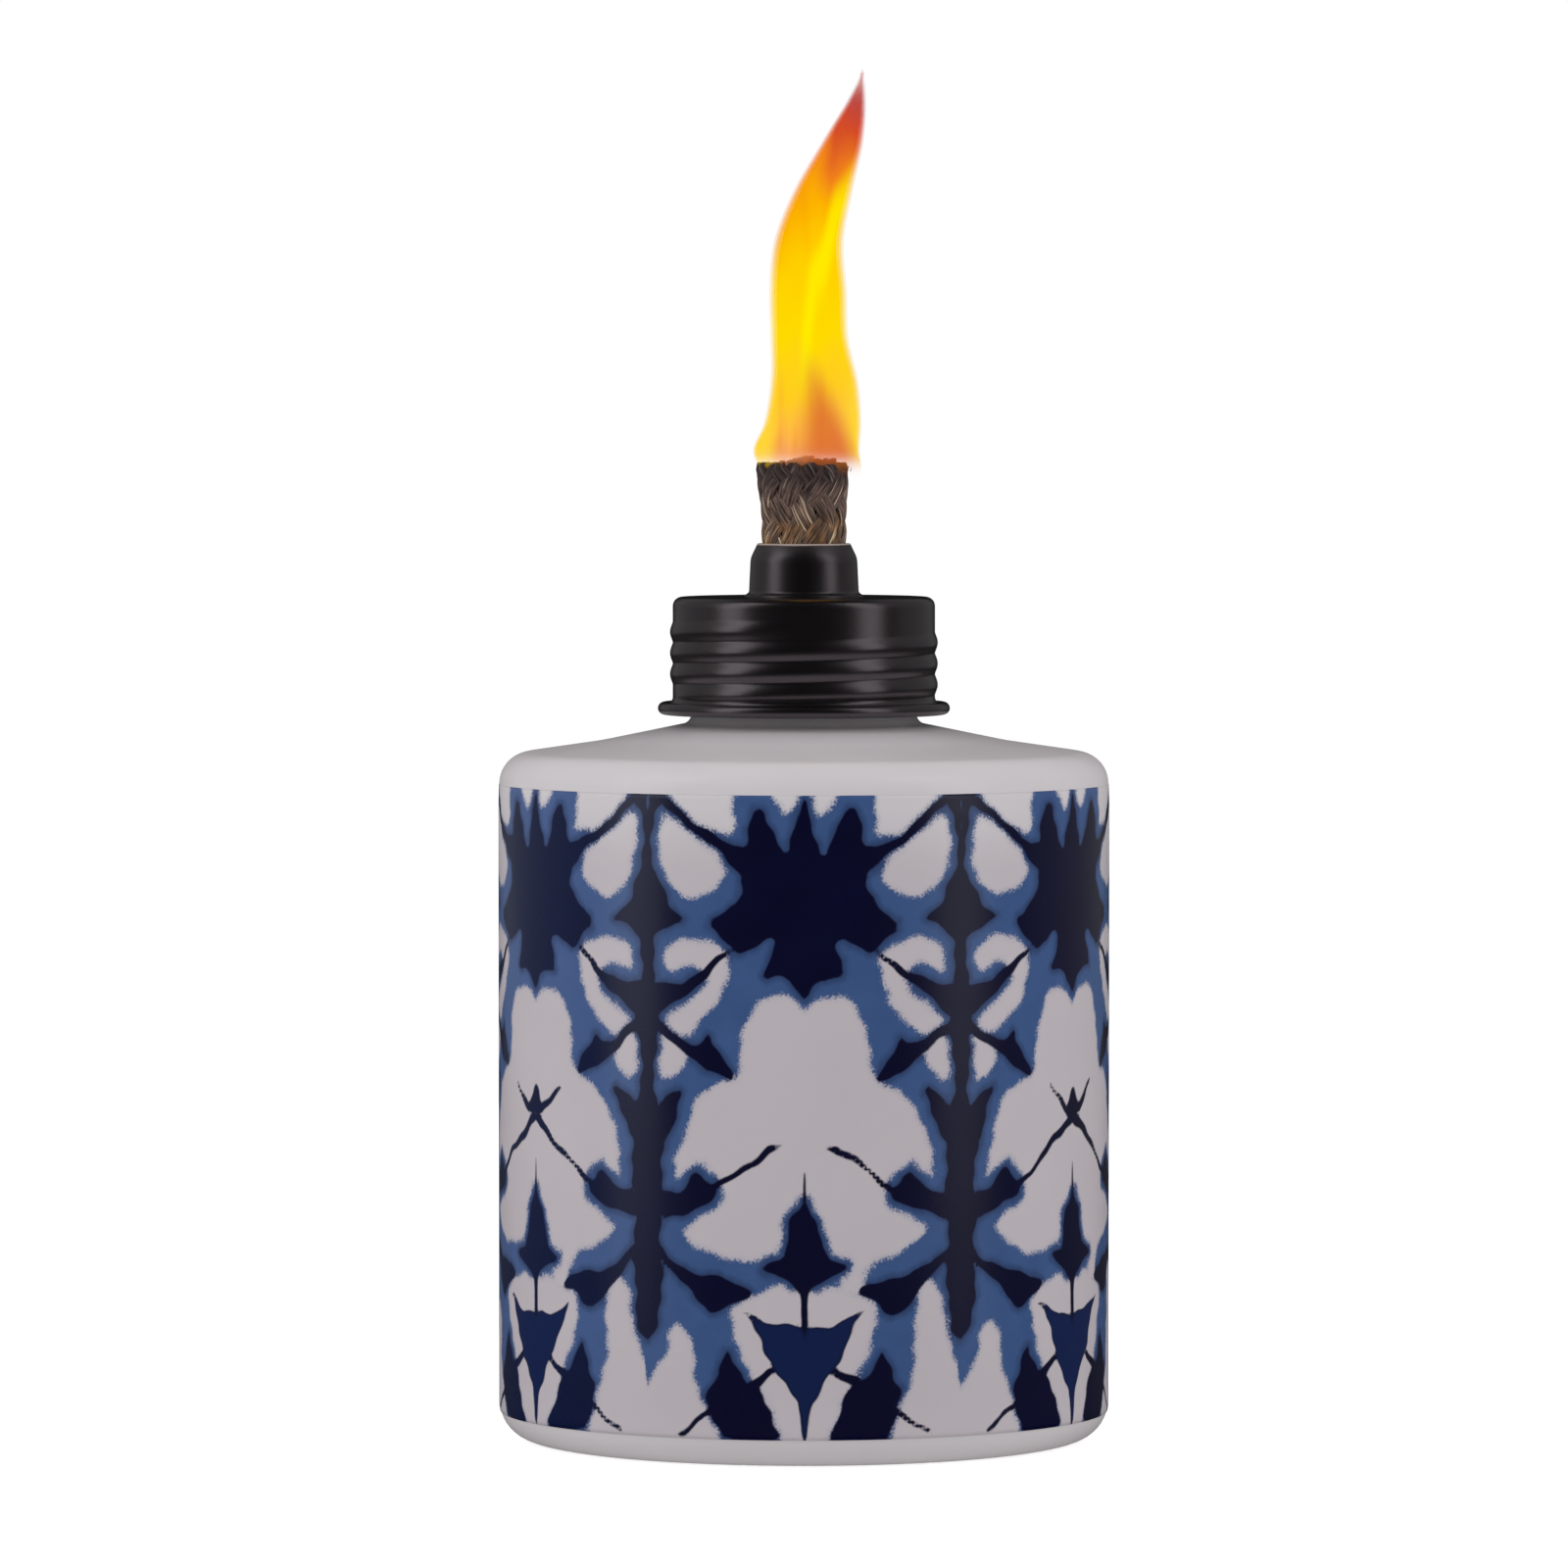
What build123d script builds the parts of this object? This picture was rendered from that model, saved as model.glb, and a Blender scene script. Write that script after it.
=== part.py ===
"""Table-top torch: a decorated glass fuel bottle, a rolled-thread steel cap and a braided wick.

Millimetres, +Z up. The origin is the centre of the bottle's foot, on the surface it stands on.
The front of the torch faces -Y. The torch is lit, and the flame is a node of its own.
"""

import os
from math import sqrt

from build123d import *

# ---------------------------------------------------------------- driving dimensions
BODY_R = 46.0  # outside of the bottle
GLASS_WALL = 3.0
BASE_TOP_Z = 6.0  # floor of the fuel chamber
FOOT_RECESS = 1.0  # push-up under the base, inside the foot ring
FOOT_IN_R = 33.0
HEEL_R = 5.5  # outside radius between foot and side
SHOULDER_CORNER_Z = 103.2  # where the side and the shoulder would meet
SHOULDER_R = 4.8  # outside radius between side and shoulder
SHOULDER_MID = (31.0, 105.4)  # the shoulder is slightly hollow here
NECK_R = 17.0  # the waist under the screw finish
NECK_LOW_Z = 108.3
NECK_HIGH_Z = 110.9

FINISH_R = 18.6  # thread root on the glass
FINISH_LOW_Z = 112.0
BORE_R = 14.3  # mouth of the bottle
RIM_Z = 125.65
RIM_EDGE_R = 0.8

THREAD_PITCH = 3.175  # eight threads to the inch
GLASS_THREAD_R = 19.75  # crest of the thread on the glass
GLASS_THREAD_HALF = 1.0  # half width at its root
GLASS_THREAD_FLAT = 0.3  # half width of its crest
GLASS_THREAD_TURNS = 1.4

SHEET = 0.35  # steel sheet of the cap
CAP_R = 19.8  # outside of the skirt between the ridges
CAP_TOP_Z = 127.2
CAP_CORNER_R = 1.4
RIDGE_CREST_R = 20.4  # outside of the rolled ridges
RIDGE_ROUND_R = 1.48  # radius of a ridge's section
RIDGE_TURNS = 3.25
RIDGE_LOW_Z = 112.37  # lower end of the rolled thread, at the left side
RIDGE_LOW_ANGLE = 180.0  # degrees from +X
CURL_Z = 110.4  # centre of the curled hem
CURL_R = 0.95  # its section's radius
CURL_CENTRE_R = 21.1
CURL_SWEEP = 285.0  # degrees of the curl that the sheet goes round
FLARE_BEND_R = 1.2  # the two bends that lead the skirt out to the curl

WICK_R = 6.6  # a half-inch wick with its jacket
WICK_CLEARANCE = 0.3
WICK_TOP_Z = 147.5
WICK_END_Z = 13.0
WICK_TOP_R = 7.3  # burnt end, spread open
CORE_R = 5.2

COLLAR_FOOT_R = 9.0
COLLAR_R = 8.15  # outside of the collar's straight part
COLLAR_TOP_Z = 135.25
TUBE_SHEET = 0.4
TUBE_LOW_Z = 117.5
TUBE_TOP_Z = 133.2
TUBE_FLANGE_R = 10.5
SLIT = (1.2, 6.0)  # width and height of the four slits in the tube's lower end

LINER_R = 18.3
LINER_HOLE_R = 12.0

PRINT_LOW_Z = 4.3
PRINT_HIGH_Z = 99.0
FILM = 0.12  # thickness of the printed transfer film

# Flame sections, upwards: height, centre in X and Y, half width in X and Y.
FLAME_SECTIONS = [
    (147.6, 0.2, 0.0, 8.1, 7.4),
    (151.0, 1.0, 0.0, 7.8, 6.8),
    (158.5, 1.4, -0.3, 7.0, 5.8),
    (166.0, 0.8, -0.6, 6.1, 5.0),
    (176.0, 0.8, -0.4, 5.7, 4.5),
    (185.0, 2.3, 0.3, 4.9, 3.8),
    (193.5, 5.1, 0.7, 3.7, 2.8),
    (200.0, 7.4, 0.6, 1.9, 1.5),
    (206.8, 8.7, 0.3, 0.3, 0.3),
]

# ---------------------------------------------------------------- worked-out dimensions
TURN = 360.0
CLEARANCE = 0.05  # between pieces that only lie against each other
SEAT_DEPTH = 0.05  # a run-out's flat lies this far inside the wall it fades into
CAP_UNDERSIDE_Z = CAP_TOP_Z - SHEET
CAP_INNER_R = CAP_R - SHEET
GROOVE_CREST_R = RIDGE_CREST_R - SHEET
GROOVE_ROUND_R = RIDGE_ROUND_R - SHEET
GROOVE_MARGIN = 0.07  # turns that the groove stops short of the ridge's ends
GLASS_THREAD_FIRST = 1.7  # turns up the screw line from the rolled thread's lower end
CURL_PATH_R = CURL_R - SHEET / 2
SKIRT_PATH_R = CAP_R - SHEET / 2
TUBE_IN_R = WICK_R + WICK_CLEARANCE
TUBE_OUT_R = TUBE_IN_R + TUBE_SHEET
COLLAR_IN_R = TUBE_OUT_R + CLEARANCE

os.makedirs("parts", exist_ok=True)


def save(piece, name):
    """Labels a finished piece and writes its STEP file."""
    piece.part.label = name
    export_step(piece.part, f"parts/{name}.step")


def arc_half_height(radius, crest_r, root_r):
    """Half height, at root_r, of a round thread section with this radius and crest."""
    return sqrt(radius**2 - (radius - (crest_r - root_r)) ** 2)


def screw_bar(turns, root_r, crest_r, root_half, crest_half):
    """A right-hand screw ridge that starts on +X at height zero.

    Its crest is a flat of twice crest_half, or an arc where crest_half is zero.
    """
    with BuildPart() as bar:
        with BuildLine() as path:
            Helix(THREAD_PITCH, turns * THREAD_PITCH, root_r)
        with BuildSketch(Plane(path.line @ 0, x_dir=(1, 0, 0), z_dir=path.line % 0)):
            with BuildLine():
                height = crest_r - root_r
                if crest_half:
                    Polyline((0, -root_half), (height, -crest_half), (height, crest_half), (0, root_half))
                else:
                    ThreePointArc((0, -root_half), (height, 0), (0, root_half))
                Line((0, root_half), (0, -root_half))
            make_face()
        sweep(path=path.line, is_frenet=True)
    return bar.part


def run_out(bar, turns, wall_r):
    """Takes the crest off both ends of a screw bar with flats, so that it fades into the wall."""
    with BuildPart() as faded:
        add(bar)
        for end_turns in (0, turns):
            low_z = (end_turns - 0.5) * THREAD_PITCH
            with BuildSketch(Plane((0, 0, low_z)).rotated((0, 0, TURN * end_turns))):
                with Locations((wall_r - SEAT_DEPTH, 0)):
                    Rectangle(wall_r, wall_r, align=(Align.MIN, Align.CENTER))
            extrude(amount=THREAD_PITCH, mode=Mode.SUBTRACT)
    return faded.part


def on_screw_line(bar, first_turn):
    """Puts a screw bar at its place on the cap's screw line."""
    lift = RIDGE_LOW_Z + first_turn * THREAD_PITCH
    return Location((0, 0, lift), (0, 0, RIDGE_LOW_ANGLE + TURN * first_turn)) * bar


def turned_section(corners):
    """A filled outline in the XZ plane through (point, fillet radius) corners, to be revolved."""
    with BuildSketch(Plane.XZ) as section:
        with BuildLine():
            FilletPolyline(*[point for point, _ in corners], radius=[r for _, r in corners], close=True)
        make_face()
    return section.sketch


# ---------------------------------------------------------------- screw thread solids
GLASS_THREAD_ROOT_R = FINISH_R - 0.3  # buried in the finish, so that the thread is one with it
glass_thread = run_out(
    screw_bar(GLASS_THREAD_TURNS, GLASS_THREAD_ROOT_R, GLASS_THREAD_R, GLASS_THREAD_HALF, GLASS_THREAD_FLAT),
    GLASS_THREAD_TURNS,
    FINISH_R,
)

RIDGE_ROOT_R = CAP_R - SHEET / 2
ridge_half = arc_half_height(RIDGE_ROUND_R, RIDGE_CREST_R, RIDGE_ROOT_R)
rolled_ridge = run_out(
    screw_bar(RIDGE_TURNS, RIDGE_ROOT_R, RIDGE_CREST_R, ridge_half, 0),
    RIDGE_TURNS,
    CAP_R,
)

GROOVE_ROOT_R = CAP_INNER_R - SHEET  # in the open, inside the skirt
groove_half = arc_half_height(GROOVE_ROUND_R, GROOVE_CREST_R, GROOVE_ROOT_R)
groove_turns = RIDGE_TURNS - 2 * GROOVE_MARGIN
rolled_groove = screw_bar(groove_turns, GROOVE_ROOT_R, GROOVE_CREST_R, groove_half, 0)

# ---------------------------------------------------------------- bottle
# Pressed and blown glass: a foot ring round a shallow push-up, a straight side, a shoulder and a
# waisted neck under the screw finish.
outside = [
    ((0, FOOT_RECESS), 0),
    ((FOOT_IN_R - FOOT_RECESS, FOOT_RECESS), 0.8),
    ((FOOT_IN_R, 0), 0.3),
    ((BODY_R, 0), HEEL_R),
    ((BODY_R, SHOULDER_CORNER_Z), SHOULDER_R),
    (SHOULDER_MID, 40.0),
    ((NECK_R, NECK_LOW_Z), 1.6),
    ((NECK_R, NECK_HIGH_Z), 0.6),
    ((FINISH_R, FINISH_LOW_Z), 0.4),
    ((FINISH_R, RIM_Z), RIM_EDGE_R),
]
inside = [
    ((BORE_R, RIM_Z), RIM_EDGE_R),
    ((BORE_R, NECK_LOW_Z - GLASS_WALL), 3.0),
    ((BODY_R - GLASS_WALL, SHOULDER_CORNER_Z - GLASS_WALL), 4.0),
    ((BODY_R - GLASS_WALL, BASE_TOP_Z), 6.0),
    ((0, BASE_TOP_Z), 0),
]
bottle_section = turned_section(outside + inside)
with BuildPart() as bottle:
    revolve(bottle_section, axis=Axis.Z)
    add(on_screw_line(glass_thread, GLASS_THREAD_FIRST))
save(bottle, "bottle")

# ---------------------------------------------------------------- printed film
# A screen-printed sleeve on the side of the bottle, from just under the shoulder down into the heel.
with BuildPart() as print_film:
    with BuildSketch(Plane.XZ):
        for grown, how in ((FILM, Mode.ADD), (0, Mode.SUBTRACT)):
            with BuildLine():
                side_r = BODY_R + grown
                box = [(0, -grown), (side_r, -grown), (side_r, PRINT_HIGH_Z), (0, PRINT_HIGH_Z)]
                FilletPolyline(*box, radius=[0, HEEL_R + grown, 0, 0], close=True)
            make_face(mode=how)
        with Locations((0, PRINT_LOW_Z)):
            Rectangle(2 * BODY_R, PRINT_HIGH_Z, align=(Align.MIN, Align.MIN), mode=Mode.INTERSECT)
    revolve(axis=Axis.Z)
save(print_film, "print_film")

# ---------------------------------------------------------------- cap shell
# Drawn from steel sheet: a flat top with a round hole, a skirt with the thread rolled into it from
# inside, and a hem that flares out and curls up on itself.
with BuildPart() as cap_shell:
    with BuildSketch(Plane.XZ):
        with BuildLine():
            flare_width = CURL_CENTRE_R - CURL_PATH_R - SKIRT_PATH_R
            flare_half = flare_width / 2
            flare_height = 2 * sqrt(FLARE_BEND_R**2 - (FLARE_BEND_R - flare_half) ** 2)
            flare_turn = Vector(FLARE_BEND_R - flare_half, flare_height / 2).get_angle(Vector(1, 0))
            skirt_end = (SKIRT_PATH_R, CURL_Z + flare_height)
            FilletPolyline(
                (TUBE_OUT_R + CLEARANCE, CAP_TOP_Z - SHEET / 2),
                (SKIRT_PATH_R, CAP_TOP_Z - SHEET / 2),
                skirt_end,
                radius=CAP_CORNER_R - SHEET / 2,
            )
            out_bend = JernArc(skirt_end, (0, -1), FLARE_BEND_R, flare_turn)
            down_bend = JernArc(out_bend @ 1, out_bend % 1, FLARE_BEND_R, -flare_turn)
            JernArc(down_bend @ 1, (0, -1), CURL_PATH_R, CURL_SWEEP)
        trace(line_width=SHEET)
    revolve(axis=Axis.Z)
    add(on_screw_line(rolled_ridge, 0))
    add(on_screw_line(rolled_groove, GROOVE_MARGIN), mode=Mode.SUBTRACT)
save(cap_shell, "cap_shell")

# ---------------------------------------------------------------- wick collar
# A spun steel dome that stands on the cap, sleeves the wick tube and closes in round the wick.
lip_z = TUBE_TOP_Z + 0.2
collar_section = turned_section(
    [
        ((COLLAR_IN_R, CAP_TOP_Z), 0),
        ((COLLAR_FOOT_R, CAP_TOP_Z), 0),
        ((COLLAR_FOOT_R, CAP_TOP_Z + 0.25), 0.1),
        ((COLLAR_R + 0.15, CAP_TOP_Z + 0.6), 0.6),
        ((COLLAR_R - 0.1, COLLAR_TOP_Z - 2.2), 3.0),
        ((TUBE_IN_R + 0.1, COLLAR_TOP_Z), 0.05),
        ((TUBE_IN_R, COLLAR_TOP_Z), 0),
        ((TUBE_IN_R, lip_z + 0.6), 0.2),
        ((COLLAR_IN_R, lip_z), 0.2),
    ]
)
with BuildPart() as wick_collar:
    revolve(collar_section, axis=Axis.Z)
save(wick_collar, "wick_collar")

# ---------------------------------------------------------------- wick tube
# Guides the wick inside the collar. Its flange is pressed up under the cap's top, and four slits let
# its lower end grip the wick.
with BuildPart() as wick_tube:
    with BuildSketch(Plane.XY.offset(TUBE_LOW_Z)):
        Circle(TUBE_OUT_R)
    extrude(amount=TUBE_TOP_Z - TUBE_LOW_Z)
    with BuildSketch(Plane.XY.offset(CAP_UNDERSIDE_Z - TUBE_SHEET)):
        Circle(TUBE_FLANGE_R)
    extrude(amount=TUBE_SHEET)
    with BuildSketch(Plane.XY.offset(TUBE_LOW_Z)):
        Circle(TUBE_IN_R)
    extrude(amount=TUBE_TOP_Z - TUBE_LOW_Z, mode=Mode.SUBTRACT)
    with BuildSketch(Plane.XY.offset(TUBE_LOW_Z)):
        Rectangle(4 * TUBE_OUT_R, SLIT[0])
        Rectangle(SLIT[0], 4 * TUBE_OUT_R)
    extrude(amount=SLIT[1], mode=Mode.SUBTRACT)
save(wick_tube, "wick_tube")

# ---------------------------------------------------------------- cap liner
# A paper-board washer that seals the cap on the bottle's rim.
with BuildPart() as cap_liner:
    with BuildSketch(Plane.XY.offset(RIM_Z)):
        Circle(LINER_R)
        Circle(LINER_HOLE_R, mode=Mode.SUBTRACT)
    extrude(amount=CAP_UNDERSIDE_Z - CLEARANCE - RIM_Z)
save(cap_liner, "cap_liner")

# ---------------------------------------------------------------- wick
# A braided glass-fibre jacket round a core of straight rovings. The burnt end is spread open.
jacket_bore_r = CORE_R + CLEARANCE
jacket_section = turned_section(
    [
        ((jacket_bore_r, WICK_END_Z), 0),
        ((WICK_R, WICK_END_Z), 0.4),
        ((WICK_R, WICK_TOP_Z - 6.5), 6.0),
        ((WICK_TOP_R, WICK_TOP_Z - 1.2), 0.8),
        ((WICK_R, WICK_TOP_Z), 0.6),
        ((jacket_bore_r, WICK_TOP_Z), 0),
    ]
)
with BuildPart() as wick_jacket:
    revolve(jacket_section, axis=Axis.Z)
save(wick_jacket, "wick_jacket")

with BuildPart() as wick_core:
    with BuildSketch(Plane.XY.offset(WICK_END_Z)):
        Circle(CORE_R)
    extrude(amount=WICK_TOP_Z - WICK_END_Z)
save(wick_core, "wick_core")

# ---------------------------------------------------------------- flame
with BuildPart() as flame:
    for height, centre_x, centre_y, half_x, half_y in FLAME_SECTIONS:
        with BuildSketch(Plane((centre_x, centre_y, height))):
            Ellipse(half_x, half_y)
    loft()
save(flame, "flame")
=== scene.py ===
"""Table-top torch: coated glass bottle with a tie-dye print, screw cap, braided wick and flame.

The pieces come in the order in which the torch is put together, from the bottle up to the flame.
"""

import math

import bmesh
import bpy
import numpy as np
from mathutils import Euler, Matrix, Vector


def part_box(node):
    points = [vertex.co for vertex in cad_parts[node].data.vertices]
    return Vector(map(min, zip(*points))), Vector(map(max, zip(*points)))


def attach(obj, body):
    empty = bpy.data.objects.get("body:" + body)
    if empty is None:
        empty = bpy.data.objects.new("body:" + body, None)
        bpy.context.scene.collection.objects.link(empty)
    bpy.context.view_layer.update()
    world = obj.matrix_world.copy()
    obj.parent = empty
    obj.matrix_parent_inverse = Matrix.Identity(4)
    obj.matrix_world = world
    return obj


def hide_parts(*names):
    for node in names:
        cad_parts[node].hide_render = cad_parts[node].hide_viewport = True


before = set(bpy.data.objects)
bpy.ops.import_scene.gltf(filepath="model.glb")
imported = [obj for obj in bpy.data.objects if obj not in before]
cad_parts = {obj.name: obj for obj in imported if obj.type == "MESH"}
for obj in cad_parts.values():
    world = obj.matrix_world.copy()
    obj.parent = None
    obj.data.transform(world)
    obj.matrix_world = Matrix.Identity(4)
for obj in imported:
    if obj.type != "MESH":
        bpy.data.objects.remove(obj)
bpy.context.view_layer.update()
MM = 0.001

# ---------------------------------------------------------------- camera
# A long lens at table height, aimed level with the bottle's shoulder. It looks along +Y, at the front
# of the torch.
camera_data = bpy.data.cameras.new("studio_camera")
camera_data.lens = 223.9
camera = bpy.data.objects.new("studio_camera", camera_data)
bpy.context.scene.collection.objects.link(camera)
bpy.context.scene.camera = camera
camera.location = (-3.0 * MM, -1472 * MM, 157 * MM)
camera.rotation_euler = Euler((math.radians(90 - 2.26), 0, 0))

# ---------------------------------------------------------------- studio
# A pale floor that runs seamlessly into a white room, a large softbox on each side of the camera, and a
# white wall beyond each softbox. The camera's own side of the room is dark. To the camera, the floor is
# as bright as the room, with a soft shadow under the bottle. To the bottle, it is a grey table.
bpy.context.scene.view_settings.view_transform = "Standard"


class Signal:
    """A socket of a material under construction. An expression on signals adds the nodes for it."""

    def __init__(self, tree, socket=None):
        self.tree, self.socket = tree, socket

    def node(self, kind, settings=(), output=0, **inputs):
        """Adds a node: its settings first, then a value or a signal for each named or numbered socket."""
        made = self.tree.nodes.new(kind)
        for name, value in dict(settings).items():
            if name == "stops":
                ramp = made.color_ramp
                while len(ramp.elements) < len(value):
                    ramp.elements.new(0.5)
                for stop, (place, colour) in zip(ramp.elements, value):
                    stop.position, stop.color = place, (*colour, 1)
            else:
                setattr(made, name, value)
        for name, value in inputs.items():
            socket = made.inputs[int(name[1:]) if name[0] == "n" and name[1:].isdigit() else name]
            if isinstance(value, Signal):
                self.tree.links.new(value.socket, socket)
            else:
                socket.default_value = value
        return Signal(self.tree, made.outputs[output])

    def maths(self, operation, *others):
        named = {f"n{place}": value for place, value in enumerate((self, *others))}
        return self.node("ShaderNodeMath", {"operation": operation}, **named)

    def __add__(self, other):
        return self.maths("ADD", other)

    def __sub__(self, other):
        return self.maths("SUBTRACT", other)

    def __rsub__(self, other):
        return (self * -1) + other

    def __mul__(self, other):
        return self.maths("MULTIPLY", other)

    def __truediv__(self, other):
        return self.maths("DIVIDE", other)

    __radd__ = __add__
    __rmul__ = __mul__

    def step(self, low, high):
        """0 below low, 1 above high, smooth between them."""
        settings = {"interpolation_type": "SMOOTHSTEP"}
        return self.node("ShaderNodeMapRange", settings, Value=self, n1=low, n2=high)

    def between(self, off, on):
        """This share of the way from one colour to the other."""
        colours = {
            f"n{place}": value if isinstance(value, Signal) else (*value, 1)
            for place, value in ((6, off), (7, on))
        }
        return self.node("ShaderNodeMix", {"data_type": "RGBA"}, 2, n0=self, **colours)

    def place(self):
        """The point on the piece, in metres."""
        return self.node("ShaderNodeTexCoord", output="Object")

    def along(self, axis):
        """The point's coordinate on the X, Y or Z axis, in metres."""
        return self.node("ShaderNodeSeparateXYZ", output=axis, Vector=self.place())

    def noise(self, size, stretch=(1, 1, 1), detail=2.0, roughness=0.5):
        """Noise from 0 to 1 with features about this many millimetres across."""
        point = self.node("ShaderNodeMapping", n0=self.place(), n3=tuple(s / (size * MM) for s in stretch))
        return self.node("ShaderNodeTexNoise", Vector=point, Scale=1.0, Detail=detail, Roughness=roughness)

    def bump(self, depth, strength=1.0):
        """A normal for this height map, with its whole range this many millimetres deep."""
        return self.node("ShaderNodeBump", Height=self, Distance=depth * MM, Strength=strength)


def new_finish(name, **sockets):
    """A material with these constants on its shader, and a function that links signals to it."""
    made = bpy.data.materials.new(name)
    made.use_nodes = True
    shader = made.node_tree.nodes["Principled BSDF"]
    for socket, value in sockets.items():
        shader.inputs[socket.replace("_", " ")].default_value = value

    def link(**signals):
        for socket, signal in signals.items():
            made.node_tree.links.new(signal.socket, shader.inputs[socket.replace("_", " ")])

    return made, Signal(made.node_tree), link


def stand_up(name, shape, smooth=True):
    """An object of the scene from a finished bmesh."""
    mesh = bpy.data.meshes.new(name)
    shape.to_mesh(mesh)
    shape.free()
    if smooth:
        mesh.shade_smooth()
    made = bpy.data.objects.new(name, mesh)
    bpy.context.scene.collection.objects.link(made)
    return made


floor_shape = bmesh.new()
bmesh.ops.create_circle(floor_shape, cap_ends=True, radius=0.7, segments=96)
bmesh.ops.translate(floor_shape, verts=floor_shape.verts, vec=(0, 0, -0.05 * MM))
studio_floor = stand_up("studio_floor", floor_shape, smooth=False)
floor_paper, paint, link = new_finish(
    "floor_paper", Roughness=1.0, Specular_IOR_Level=0.0, Emission_Color=(1, 1, 1, 1)
)
to_camera = paint.node("ShaderNodeLightPath", output="Is Camera Ray")
to_diffuse = paint.node("ShaderNodeLightPath", output="Is Diffuse Ray")
ray_length = paint.node("ShaderNodeLightPath", output="Ray Length")
from_below = paint.node("ShaderNodeNewGeometry", output="Backfacing")
link(
    Base_Color=to_camera.between(to_diffuse.between((0.06, 0.06, 0.06), (0.74, 0.74, 0.74)), (0.9, 0.9, 0.9)),
    Emission_Strength=to_camera * 0.58,
    # From below, the floor isn't there, so that the foot can be seen, and some light reaches the foot.
    Alpha=(ray_length.maths("GREATER_THAN", 12 * MM) - from_below).maths("MAXIMUM", 0.0),
)
studio_floor.data.materials.append(floor_paper)

room = bpy.data.worlds.new("white_room")
bpy.context.scene.world = room
room.use_nodes = True
room_light = Signal(room.node_tree)
to_camera = room_light.node("ShaderNodeLightPath", output="Is Camera Ray")
to_glossy = room_light.node("ShaderNodeLightPath", output="Is Glossy Ray")
to_bottle = room_light.node("ShaderNodeMix", Factor=to_glossy, A=0.56, B=0.01)
shown = room_light.node("ShaderNodeMix", Factor=to_camera, A=to_bottle, B=1.0)
room.node_tree.links.new(shown.socket, room.node_tree.nodes["Background"].inputs["Strength"])
room.node_tree.nodes["Background"].inputs["Color"].default_value = (1, 1, 1, 1)

for name, azimuth, radiance, width in (
    ("softbox_left", -66, 1.22, 0.46),
    ("softbox_right", 60, 1.12, 0.42),
    ("white_wall_left", -122, 0.2, 1.5),
    ("white_wall_right", 122, 0.18, 1.5),
):
    lamp_data = bpy.data.lights.new(name, "AREA")
    lamp_data.shape = "RECTANGLE"
    lamp_data.size = width
    lamp_data.size_y = 1.3
    lamp_data.energy = radiance * math.pi * lamp_data.size * lamp_data.size_y
    lamp = bpy.data.objects.new(name, lamp_data)
    bpy.context.scene.collection.objects.link(lamp)
    angle = math.radians(azimuth)
    lamp.location = (0.9 * math.sin(angle), -0.9 * math.cos(angle), 0.55)
    lamp.rotation_mode = "QUATERNION"
    lamp.rotation_quaternion = (lamp.location - Vector((0, 0, 0.1))).to_track_quat("Z", "Y")


# ---------------------------------------------------------------- bottle
# Blown glass, sprayed with a white satin coating. The coating is a little cloudy, follows the faint
# waves of blown glass, and is rubbed grey on the foot ring. The neck is painted half way to grey, as
# painted shade under the cap's hem.
def dress_cad_node(node, material):
    """Gives a CAD node this material in place of its packed one."""
    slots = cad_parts[node].data.materials
    slots.clear()
    slots.append(material)


coated_glass, paint, link = new_finish("coated_glass", IOR=1.47)
cloud = paint.noise(14, detail=3.0)
speck = paint.noise(0.35, detail=1.0)
rubbed = (1 - paint.along("Z").step(0.0, 0.6 * MM)) * paint.noise(1.2).step(0.35, 0.6)
# Painted shade: the neck under the cap's hem is darkened half way to grey in the coating's colour.
neck_painted_shade = paint.along("Z").step(105.6 * MM, 109.0 * MM)
white_coat = cloud.between((0.755, 0.71, 0.738), (0.80, 0.758, 0.782))
coat_with_neck_shade = (neck_painted_shade * 0.5).between(white_coat, (0.30, 0.28, 0.285))
link(
    Base_Color=(rubbed * 0.6).between(coat_with_neck_shade, (0.42, 0.41, 0.40)),
    Roughness=0.27 + cloud * 0.08 + rubbed * 0.3,
    Normal=(paint.noise(22, detail=1.0) * 0.7 + speck * 0.02).bump(0.12, 0.5),
)
dress_cad_node("bottle", coated_glass)


# ---------------------------------------------------------------- print
# A thin transfer film fired onto the bottle's side, six times the same sixty-degree tie-dye motif in
# navy and mid blue on white, as if the cloth had been folded along each burst and each spine. The
# dye bleeds: navy has a crisp edge, and mid blue ends in a ragged dotted one.
film_low, film_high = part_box("print_film")
FILM_R = film_high.x
BOTTLE_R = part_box("bottle")[1].x
HEEL_R = 5.5 * MM
REPEATS = 6
HALF_REPEAT = math.pi / REPEATS * BOTTLE_R / MM  # millimetres from a burst's fold to a spine's fold

# Millimetres from the burst's fold, and height above the foot.
BURST = [
    (-1, 90), (-1, 97), (0, 99.2), (1.2, 94.4), (3.0, 89.6), (4.7, 93.8), (6.0, 97.2), (7.4, 97.0),
    (8.5, 93.6), (9.0, 91.2), (11.2, 89.9), (9.0, 87.6), (8.8, 85.4), (10.6, 82.6), (14.8, 80.0),
    (11.6, 77.6), (9.4, 75.5), (7.8, 76.6), (5.6, 78.2), (4.2, 77.4), (5.0, 74.8), (5.9, 72.2),
    (3.2, 72.4), (1.4, 71.2), (0, 68.8), (-1, 71),
]
LEAF = [
    (-1, 38), (0, 39.9), (0.9, 37.9), (2.1, 36.2), (2.6, 34.6), (2.4, 33.2), (3.3, 31.8), (3.5, 30.9),
    (6.5, 29.9), (4.6, 28.7), (2.7, 27.9), (1.1, 26.8), (0.5, 25.4), (0.5, 20), (-1, 20),
]
LEAF_TIP = [(-0.3, 39), (-0.1, 43.8), (0.1, 43.8), (0.35, 39)]
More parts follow.
